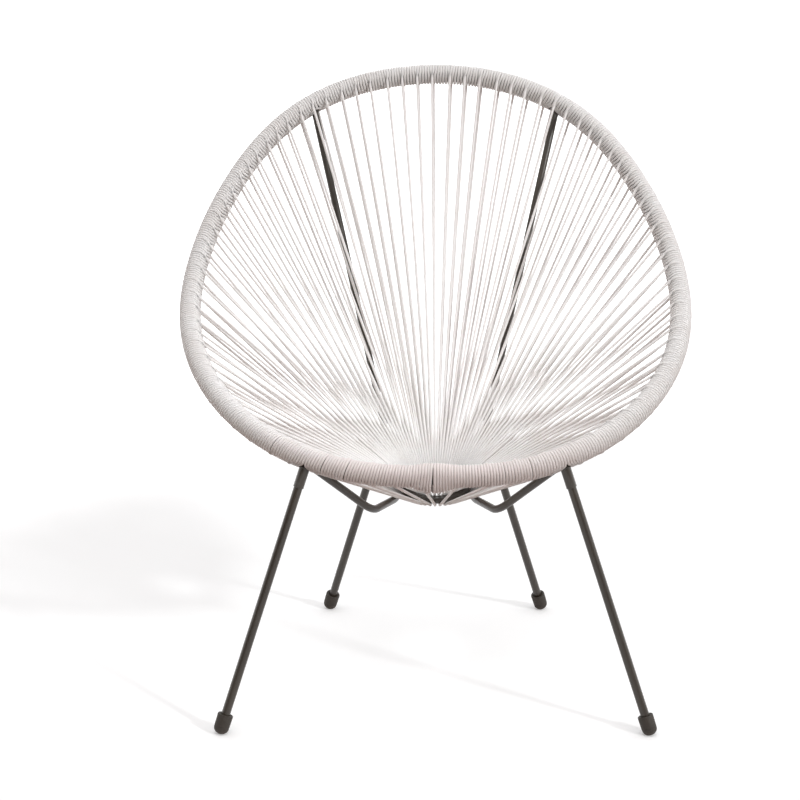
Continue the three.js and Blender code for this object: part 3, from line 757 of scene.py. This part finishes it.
HOOK_REACH = RING_TUBE_RADIUS + CORD_RADIUS
HOOK_STEPS, HOOK_ADVANCE, HOOK_JITTER = 12, 0.9, 0.25
STRAND_DOWN, STRAND_BACK = (0.02, 0.3, 0.6, 0.85, 0.97), (0.03, 0.15, 0.4, 0.7, 0.98)
hook_jitter = random.uniform(-HOOK_JITTER, HOOK_JITTER, LOOPS)
LOOPS_LEAVING = [leaving_loop(k) for k in range(LOOPS)]
WINDINGS = [winding_between(k) for k in range(LOOPS)]


def laid_point(winding, i):
    centre, up, inward, angle, reach = (part[i] for part in winding)
    return centre + reach * (math.cos(angle) * up + math.sin(angle) * inward)


def strands_and_hook(k):
    """Upper strand to the ring, the hook round it and the lower strand back, for loop k."""
    loop = LOOPS_LEAVING[k % LOOPS]
    above, below = laid_point(WINDINGS[(k - 1) % LOOPS], -1), laid_point(WINDINGS[k % LOOPS], 0)
    middle = ring_at(loop["ring_turn"])
    along_ring = np.cross(RING_NORMAL, ring_outward(loop["ring_turn"]))
    lift = unit(np.cross(along_ring, middle - (above + below) / 2))
    lift = lift if lift[2] > 0 else -lift
    inward = unit(np.cross(lift, along_ring))
    inward = inward if inward @ (middle - above) > 0 else -inward
    rows = []
    top = middle + HOOK_REACH * lift
    for share in STRAND_DOWN:
        rows.append((above + share * (top - above), 0.0, 0.0))
    for turn in np.linspace(0, math.pi, HOOK_STEPS):
        rows.append((middle + (turn / math.pi - 0.5) * HOOK_ADVANCE * along_ring, turn, HOOK_REACH))
    bottom = middle - HOOK_REACH * lift + HOOK_ADVANCE / 2 * along_ring
    for share in STRAND_BACK:
        rows.append((bottom + share * (below - bottom), 0.0, 0.0))
    count = len(rows)
    return (np.array([r[0] for r in rows]), np.tile(lift, (count, 1)), np.tile(inward, (count, 1)),
            np.array([r[1] for r in rows]), np.array([r[2] for r in rows]))


def cord_section(number):
    """The cord of one section: half the turns before its first loop, seven loops, and half the turns
    after."""
    per = LOOPS // SECTIONS
    first = number * per - per // 2
    before = WINDINGS[(first - 1) % LOOPS]
    half = len(before[0]) // 2
    stretches = [[part[half:] for part in before]]
    for k in range(first, first + per):
        stretches.append(strands_and_hook(k))
        after = WINDINGS[k % LOOPS]
        half = len(after[0]) // 2 + 1
        stretches.append([part[:half] for part in after] if k == first + per - 1 else after)
    centre, up, inward, turn, reach = (np.concatenate([s[i] for s in stretches]) for i in range(5))
    mesh = guide(centre, floats={"turn": turn, "reach": reach * MM}, vectors={"up": up, "inward": inward})
    piece = grow(f"seat_cord_{number + 1:02d}", mesh, CORD_TREE, CORD)
    settle(piece, "cord_pvc", f"rim_winding_{number + 1:02d}", f"seat_cords_{number + 1:02d}")


for number in range(SECTIONS):
    cord_section(number)


# The steel and the feet


def bead_round(centre, axis, radius, thickness=BEAD_RADIUS):
    """A weld bead that runs once round a bar."""
    first, second = across_axis(unit(axis))
    points = [centre + radius * (math.cos(t) * first + math.sin(t) * second)
              for t in np.linspace(0, 2 * math.pi, BEAD_STEPS, endpoint=False)]
    return grow("bead", guide(points, closed=True), BEAD_TREE, STEEL, Ripple_radius=thickness * MM)


def steel_hoop():
    line = guide(hoop_at(np.linspace(0, HOOP_ROUND, HOOP_STEPS, endpoint=False)), closed=True)
    hoop = grow("steel_hoop", line, BAR_TREE, STEEL, Radius=HOOP_TUBE_RADIUS * MM)
    settle(hoop, "frame_steel", "hoop_tube")


def weld_plate(side):
    """The plate that welds the ring to the rod on one side, and the bead round its foot."""
    turn = side * PLATE_TURN
    drop = RING_TUBE_RADIUS + 2 * CORD_RADIUS + ROD_TO_STRAND + PLATE_BITE * ROD_RADIUS
    plate = bmesh.new()
    bmesh.ops.create_cube(plate, size=1)
    bmesh.ops.scale(plate, vec=(*PLATE_SIZE, drop), verts=plate.verts)
    bmesh.ops.translate(plate, vec=(0, -UNDER_RING_OUTSET / 2, -drop / 2), verts=plate.verts)
    bmesh.ops.bevel(plate, geom=plate.edges, offset=PLATE_EDGE, segments=2, affect="EDGES", profile=0.5)
    place = Matrix.Translation(Vector((ring_at(turn) + PART_SHIFT) * MM))
    place = place @ Matrix.Rotation(RING_TILT, 4, "X") @ Matrix.Rotation(turn, 4, "Z") @ Matrix.Scale(MM, 4)
    bmesh.ops.transform(plate, matrix=place, verts=plate.verts)
    mesh = bpy.data.meshes.new("weld_plate")
    plate.to_mesh(mesh)
    plate.free()
    mesh.materials.append(STEEL)

    out = ring_outward(turn)
    along = np.cross(RING_NORMAL, out)
    foot = ring_at(turn) + (PLATE_BEAD_RISE - drop) * RING_NORMAL
    half_thin, half_wide = (length / 2 + PLATE_BEAD_OUTSET for length in PLATE_SIZE)
    seam = [foot + a * half_thin * along + b * half_wide * out
            for a, b in ((-1, -1), (1, -1), (1, 1), (-1, 1))]
    line = guide(seam, closed=True)
    bead = grow("plate_bead", line, BEAD_TREE, STEEL, Ripple_radius=PLATE_BEAD_RADIUS * MM)
    return link("weld_plate", mesh), bead


def steel_ring():
    line = guide([ring_at(t) for t in np.linspace(0, 2 * math.pi, RING_STEPS, endpoint=False)], closed=True)
    bar = grow("ring_bar", line, BAR_TREE, STEEL, Radius=RING_TUBE_RADIUS * MM, Sides=RING_SIDES)
    settle(joined("steel_ring", [bar, *weld_plate(-1), *weld_plate(1)]), "frame_steel", "inner_ring")


def steel_rod(side, word):
    """A bent rod that reaches into the hoop's tube at both ends, with a bead round each end."""
    points = np.array(rod_path(side)[0])
    ends = ((0, 1), (-1, -2))
    for end, next_to in ends:
        points[end] += unit(points[next_to] - points[end]) * (HOOP_TUBE_RADIUS - ROD_BITE)
    parts = [grow(f"rod_{word}", guide(points), BAR_TREE, STEEL)]
    for end, next_to in ends:
        away = points[next_to] - points[end]
        parts.append(bead_round(points[end] + unit(away) * ROD_BEAD_RISE, away, ROD_RADIUS + ROD_BEAD_OUTSET))
    settle(joined(f"steel_rod_{word}", parts), "frame_steel", f"support_rod_{word}")


def steel_sleeve(end, side, word):
    """A sleeve welded to the hoop or to a rod's knee, open below for its leg."""
    top, _, axis = leg_line(end, side)
    length = SLEEVE_LENGTHS[end]
    carrier = HOOP_TUBE_RADIUS if end == "front" else ROD_RADIUS
    root = carrier - SLEEVE_BITE
    sleeve = turned_piece("sleeve", [
        (root, SLEEVE_RADIUS), (length - 0.5, SLEEVE_RADIUS), (length - 0.15, SLEEVE_RADIUS - 0.12),
        (length, SLEEVE_RADIUS - 0.4), (length, SLEEVE_BORE + 0.15), (length - 0.2, SLEEVE_BORE),
        (root, SLEEVE_BORE)], top, axis, LEG_SIDES, STEEL, closed=True)
    bead = bead_round(top + axis * (carrier + SLEEVE_BEAD_RISE), axis, SLEEVE_RADIUS, SLEEVE_BEAD_RADIUS)
    settle(joined(f"steel_sleeve_{end}_{word}", [sleeve, bead]), "frame_steel", f"leg_sleeve_{end}_{word}")


def cap_end(end, side):
    """The end of a foot cap's dome on its leg's axis, set so that the flat under the dome lies on the
    floor."""
    _, foot, axis = leg_line(end, side)
    slope = -axis[2]
    lean = math.sqrt(1 - slope**2)
    dome = math.hypot(CAP_DOME * slope, CAP_BOTTOM_RADIUS * lean) - FOOT_FLAT
    return foot - axis * (dome / slope - CAP_DOME)


def steel_leg(end, side, word):
    """A tube plugged into its sleeve above and its foot cap below."""
    top, _, axis = leg_line(end, side)
    start = SLEEVE_LENGTHS[end] - LEG_INSERTION
    stop = np.linalg.norm(cap_end(end, side) - top) - CAP_FLOOR - LEG_TO_CAP_FLOOR
    leg = turned_piece(f"steel_leg_{end}_{word}", [
        (start, LEG_RADIUS - LEG_EDGE), (start + LEG_EDGE, LEG_RADIUS), (stop - LEG_EDGE, LEG_RADIUS),
        (stop, LEG_RADIUS - LEG_EDGE)], top, axis, LEG_SIDES, STEEL)
    settle(leg, "frame_steel", f"leg_{end}_{word}")


def moulded_foot(end, side, word):
    """A domed cap with a fine groove over the dome and a soft lip round the leg, cut flat where it stands."""
    outline = [(0.0, 0.0)]
    for t in np.linspace(0, math.pi / 2, DOME_STEPS + 1)[1:]:
        outline.append((CAP_DOME * (1 - math.cos(t)), CAP_BOTTOM_RADIUS * math.sin(t)))
    outline += [
        (CAP_DOME + 0.5, CAP_BOTTOM_RADIUS + 0.02), (CAP_DOME + 0.9, CAP_BOTTOM_RADIUS - 0.3),
        (CAP_DOME + 1.5, CAP_BOTTOM_RADIUS - 0.3), (CAP_DOME + 1.9, CAP_BOTTOM_RADIUS + 0.1),
        (CAP_HEIGHT - 1.2, CAP_TOP_RADIUS), (CAP_HEIGHT - 0.4, CAP_TOP_RADIUS - 0.25),
        (CAP_HEIGHT, CAP_TOP_RADIUS - 1.0), (CAP_HEIGHT - 0.2, LEG_RADIUS + 1.2),
        (CAP_HEIGHT - 0.9, LEG_RADIUS + 0.35), (CAP_HEIGHT - 2.0, LEG_RADIUS + 0.1),
        (CAP_FLOOR, LEG_RADIUS + 0.1), (CAP_FLOOR, 0.0)]
    upwards = -leg_line(end, side)[2]
    cap = turned_piece(f"foot_{end}_{word}", outline, cap_end(end, side), upwards, CAP_SIDES, CAP)
    body = bmesh.new()
    body.from_mesh(cap.data)
    everything = body.verts[:] + body.edges[:] + body.faces[:]
    cut = bmesh.ops.bisect_plane(
        body, geom=everything, plane_co=(0, 0, 0), plane_no=(0, 0, -1), clear_outer=True)
    rim = [g for g in cut["geom_cut"] if isinstance(g, bmesh.types.BMEdge)]
    bmesh.ops.contextual_create(body, geom=rim)
    bmesh.ops.recalc_face_normals(body, faces=body.faces)
    body.to_mesh(cap.data)
    body.free()
    settle(cap, "cap_plastic", f"foot_cap_{end}_{word}")


steel_hoop()
steel_ring()
for side, word in ((-1, "left"), (1, "right")):
    steel_rod(side, word)
    for end in ("front", "rear"):
        steel_sleeve(end, side, word)
        steel_leg(end, side, word)
        moulded_foot(end, side, word)


# Studio


def looked_at(tree):
    """1 where the camera looks, straight or by way of a glossy or clear surface, and 0 for light on the
    object."""
    path = add(tree, "ShaderNodeLightPath")
    direct = add(tree, "ShaderNodeMath", {0: path.outputs["Is Camera Ray"], 1: path.outputs["Is Glossy Ray"]},
                 operation="MAXIMUM")
    seen = add(tree, "ShaderNodeMath", {0: direct.outputs[0], 1: path.outputs["Is Transmission Ray"]},
               operation="MAXIMUM")
    return seen.outputs[0]


def studio_floor():
    """Seamless white paper, with the chair's soft shadow. Where the camera looks, a faint glow lifts it to
    white, most of all far from the chair."""
    mesh = bpy.data.meshes.new("studio_floor")
    half = 30.0
    corners = [(-half, -half, 0), (half, -half, 0), (half, half, 0), (-half, half, 0)]
    mesh.from_pydata(corners, [], [(0, 1, 2, 3)])
    material, tree = new_material("seamless_paper")
    seen = looked_at(tree)
    place = add(tree, "ShaderNodeTexCoord").outputs["Object"]
    colour = add(tree, "ShaderNodeMix", {
        0: seen, 6: linear("#98867D"), 7: linear("#F1F3F4")}, data_type="RGBA")
    paper = add(tree, "ShaderNodeBsdfDiffuse", {"Color": colour.outputs[2]})
    chair_place = (0.1, -0.1, 0.0)
    reach = add(tree, "ShaderNodeVectorMath", {
        0: place, 1: chair_place}, operation="DISTANCE").outputs["Value"]
    # Painted light: the glow is a little stronger under the chair, where it lifts the seat's shadow.
    near_glow = add(tree, "ShaderNodeMapRange", {
        "Value": reach, "From Min": 0.0, "From Max": 0.9, "To Min": 0.25, "To Max": 0.22},
        interpolation_type="SMOOTHSTEP")
    # Far from the chair the glow makes the floor white and also fades the chair's shadow out there, as
    # painted light.
    far_glow = add(tree, "ShaderNodeMapRange", {
        "Value": reach, "From Min": 0.95, "From Max": 1.8, "To Min": 0.0, "To Max": 0.9},
        interpolation_type="SMOOTHSTEP")
    strength = add(tree, "ShaderNodeMath", {
        0: near_glow.outputs["Result"], 1: far_glow.outputs["Result"]}, operation="ADD")
    glow = add(tree, "ShaderNodeEmission", {"Color": linear("#FFFFFF"), "Strength": strength.outputs[0]})
    none = add(tree, "ShaderNodeEmission", {"Strength": 0.0})
    lit = add(tree, "ShaderNodeMixShader", {0: seen, 1: none.outputs[0], 2: glow.outputs[0]})
    both = add(tree, "ShaderNodeAddShader", {0: paper.outputs[0], 1: lit.outputs[0]})
    add(tree, "ShaderNodeOutputMaterial", {"Surface": both.outputs[0]})
    mesh.materials.append(material)
    floor = link("studio_floor", mesh)


def lamp(name, kind, place, ahead, **settings):
    """A lamp that shines from a place in one direction."""
    light = bpy.data.lights.new(name, kind)
    for setting, value in settings.items():
        setattr(light, setting, value)
    stand = link(name, light)
    stand.location = place
    stand.rotation_euler = Vector(ahead).to_track_quat("-Z", "Y").to_euler()


def studio_light():
    """Bright from above, behind and both sides, dim and a little warm from the camera's side, with a key
    lamp low on the right in front and a softbox over the seat."""
    world = bpy.data.worlds.new("studio")
    world.use_nodes = True
    bpy.context.scene.world = world
    tree = world.node_tree
    tree.nodes.clear()
    way = add(tree, "ShaderNodeSeparateXYZ", {"Vector": add(tree, "ShaderNodeTexCoord").outputs["Generated"]})
    depth = add(tree, "ShaderNodeMapRange", {
        "Value": way.outputs["Y"], "From Min": -0.8, "From Max": 0.5}).outputs["Result"]
    height = add(tree, "ShaderNodeMapRange", {
        "Value": way.outputs["Z"], "From Min": 0.1, "From Max": 1.0, "To Min": 0.32, "To Max": 0.61})
    strength = add(tree, "ShaderNodeMath", {
        0: depth, 1: 0.48, 2: height.outputs["Result"]}, operation="MULTIPLY_ADD")
    colour = add(tree, "ShaderNodeMix", {
        0: depth, 6: linear("#FFF2ED"), 7: linear("#FEFEFF")}, data_type="RGBA")
    room = add(tree, "ShaderNodeBackground", {"Color": colour.outputs[2], "Strength": strength.outputs[0]})
    white = add(tree, "ShaderNodeBackground", {"Color": linear("#FFFFFF"), "Strength": 1.0})
    mixed = add(tree, "ShaderNodeMixShader", {0: looked_at(tree), 1: room.outputs[0], 2: white.outputs[0]})
    add(tree, "ShaderNodeOutputWorld", {"Surface": mixed.outputs[0]})

    lamp("key", "SUN", (0.0, 0.0, 0.0), (-1.48, 1.16, -1.0), energy=1.15, angle=math.radians(5))
    softbox, seat = Vector((0.05, -0.6, 2.2)), Vector((0.0, -0.05, 0.3))
    lamp("softbox", "AREA", softbox, seat - softbox, energy=0.48, shape="DISK", size=0.8,
         spread=math.radians(36))


def dark_flag():
    """A cloth behind the camera. Round dark tube mirrors it as its dark middle, and pale cord gets a soft
    fill from it. It is cut away at the right, where the key lamp shines past it, and the camera looks
    through it."""
    width, cut, foot, low, high, behind_camera = 12.0, 4.2, 0.02, 3.4, 4.8, -4.8
    outline = [(-width, foot), (width, foot), (width, low), (cut, low), (cut, high), (-width, high)]
    mesh = bpy.data.meshes.new("dark_flag")
    mesh.from_pydata([(x, behind_camera, z) for x, z in outline], [], [tuple(range(len(outline)))])
    material, tree = new_material("black_molton")
    path = add(tree, "ShaderNodeLightPath")
    cloth = add(tree, "ShaderNodeBsdfDiffuse", {"Color": linear("#4A3D38")})
    fill = add(tree, "ShaderNodeEmission", {"Color": linear("#FFF6F1"), "Strength": 0.4})
    mirrored = add(tree, "ShaderNodeMixShader", {
        0: path.outputs["Is Glossy Ray"], 1: fill.outputs[0], 2: cloth.outputs[0]})
    clear = add(tree, "ShaderNodeBsdfTransparent")
    both = add(tree, "ShaderNodeMixShader", {
        0: path.outputs["Is Camera Ray"], 1: mirrored.outputs[0], 2: clear.outputs[0]})
    add(tree, "ShaderNodeOutputMaterial", {"Surface": both.outputs[0]})
    mesh.materials.append(material)
    link("dark_flag", mesh)


def camera():
    """The photograph's camera, fitted to the hoop, legs and feet."""
    pitch, pan, roll = math.radians(15.437), math.radians(-1.142), math.radians(0.317)
    ahead = Vector((math.sin(pan) * math.cos(pitch), math.cos(pan) * math.cos(pitch), -math.sin(pitch)))
    right = Vector((math.cos(pan), -math.sin(pan), 0.0))
    down = ahead.cross(right)
    turned = right * math.cos(roll) + down * math.sin(roll)
    up = right * math.sin(roll) - down * math.cos(roll)
    data = bpy.data.cameras.new("camera")
    data.sensor_width = 36.0
    data.lens = 87.44
    view = link("camera", data)
    view.matrix_world = Matrix((turned, up, -ahead)).transposed().to_4x4()
    view.location = (0.00341, -2.79882, 1.16682)
    bpy.context.scene.camera = view


studio_floor()
studio_light()
dark_flag()
camera()
bpy.context.scene.view_settings.view_transform = "Standard"

bpy.context.view_layer.update()
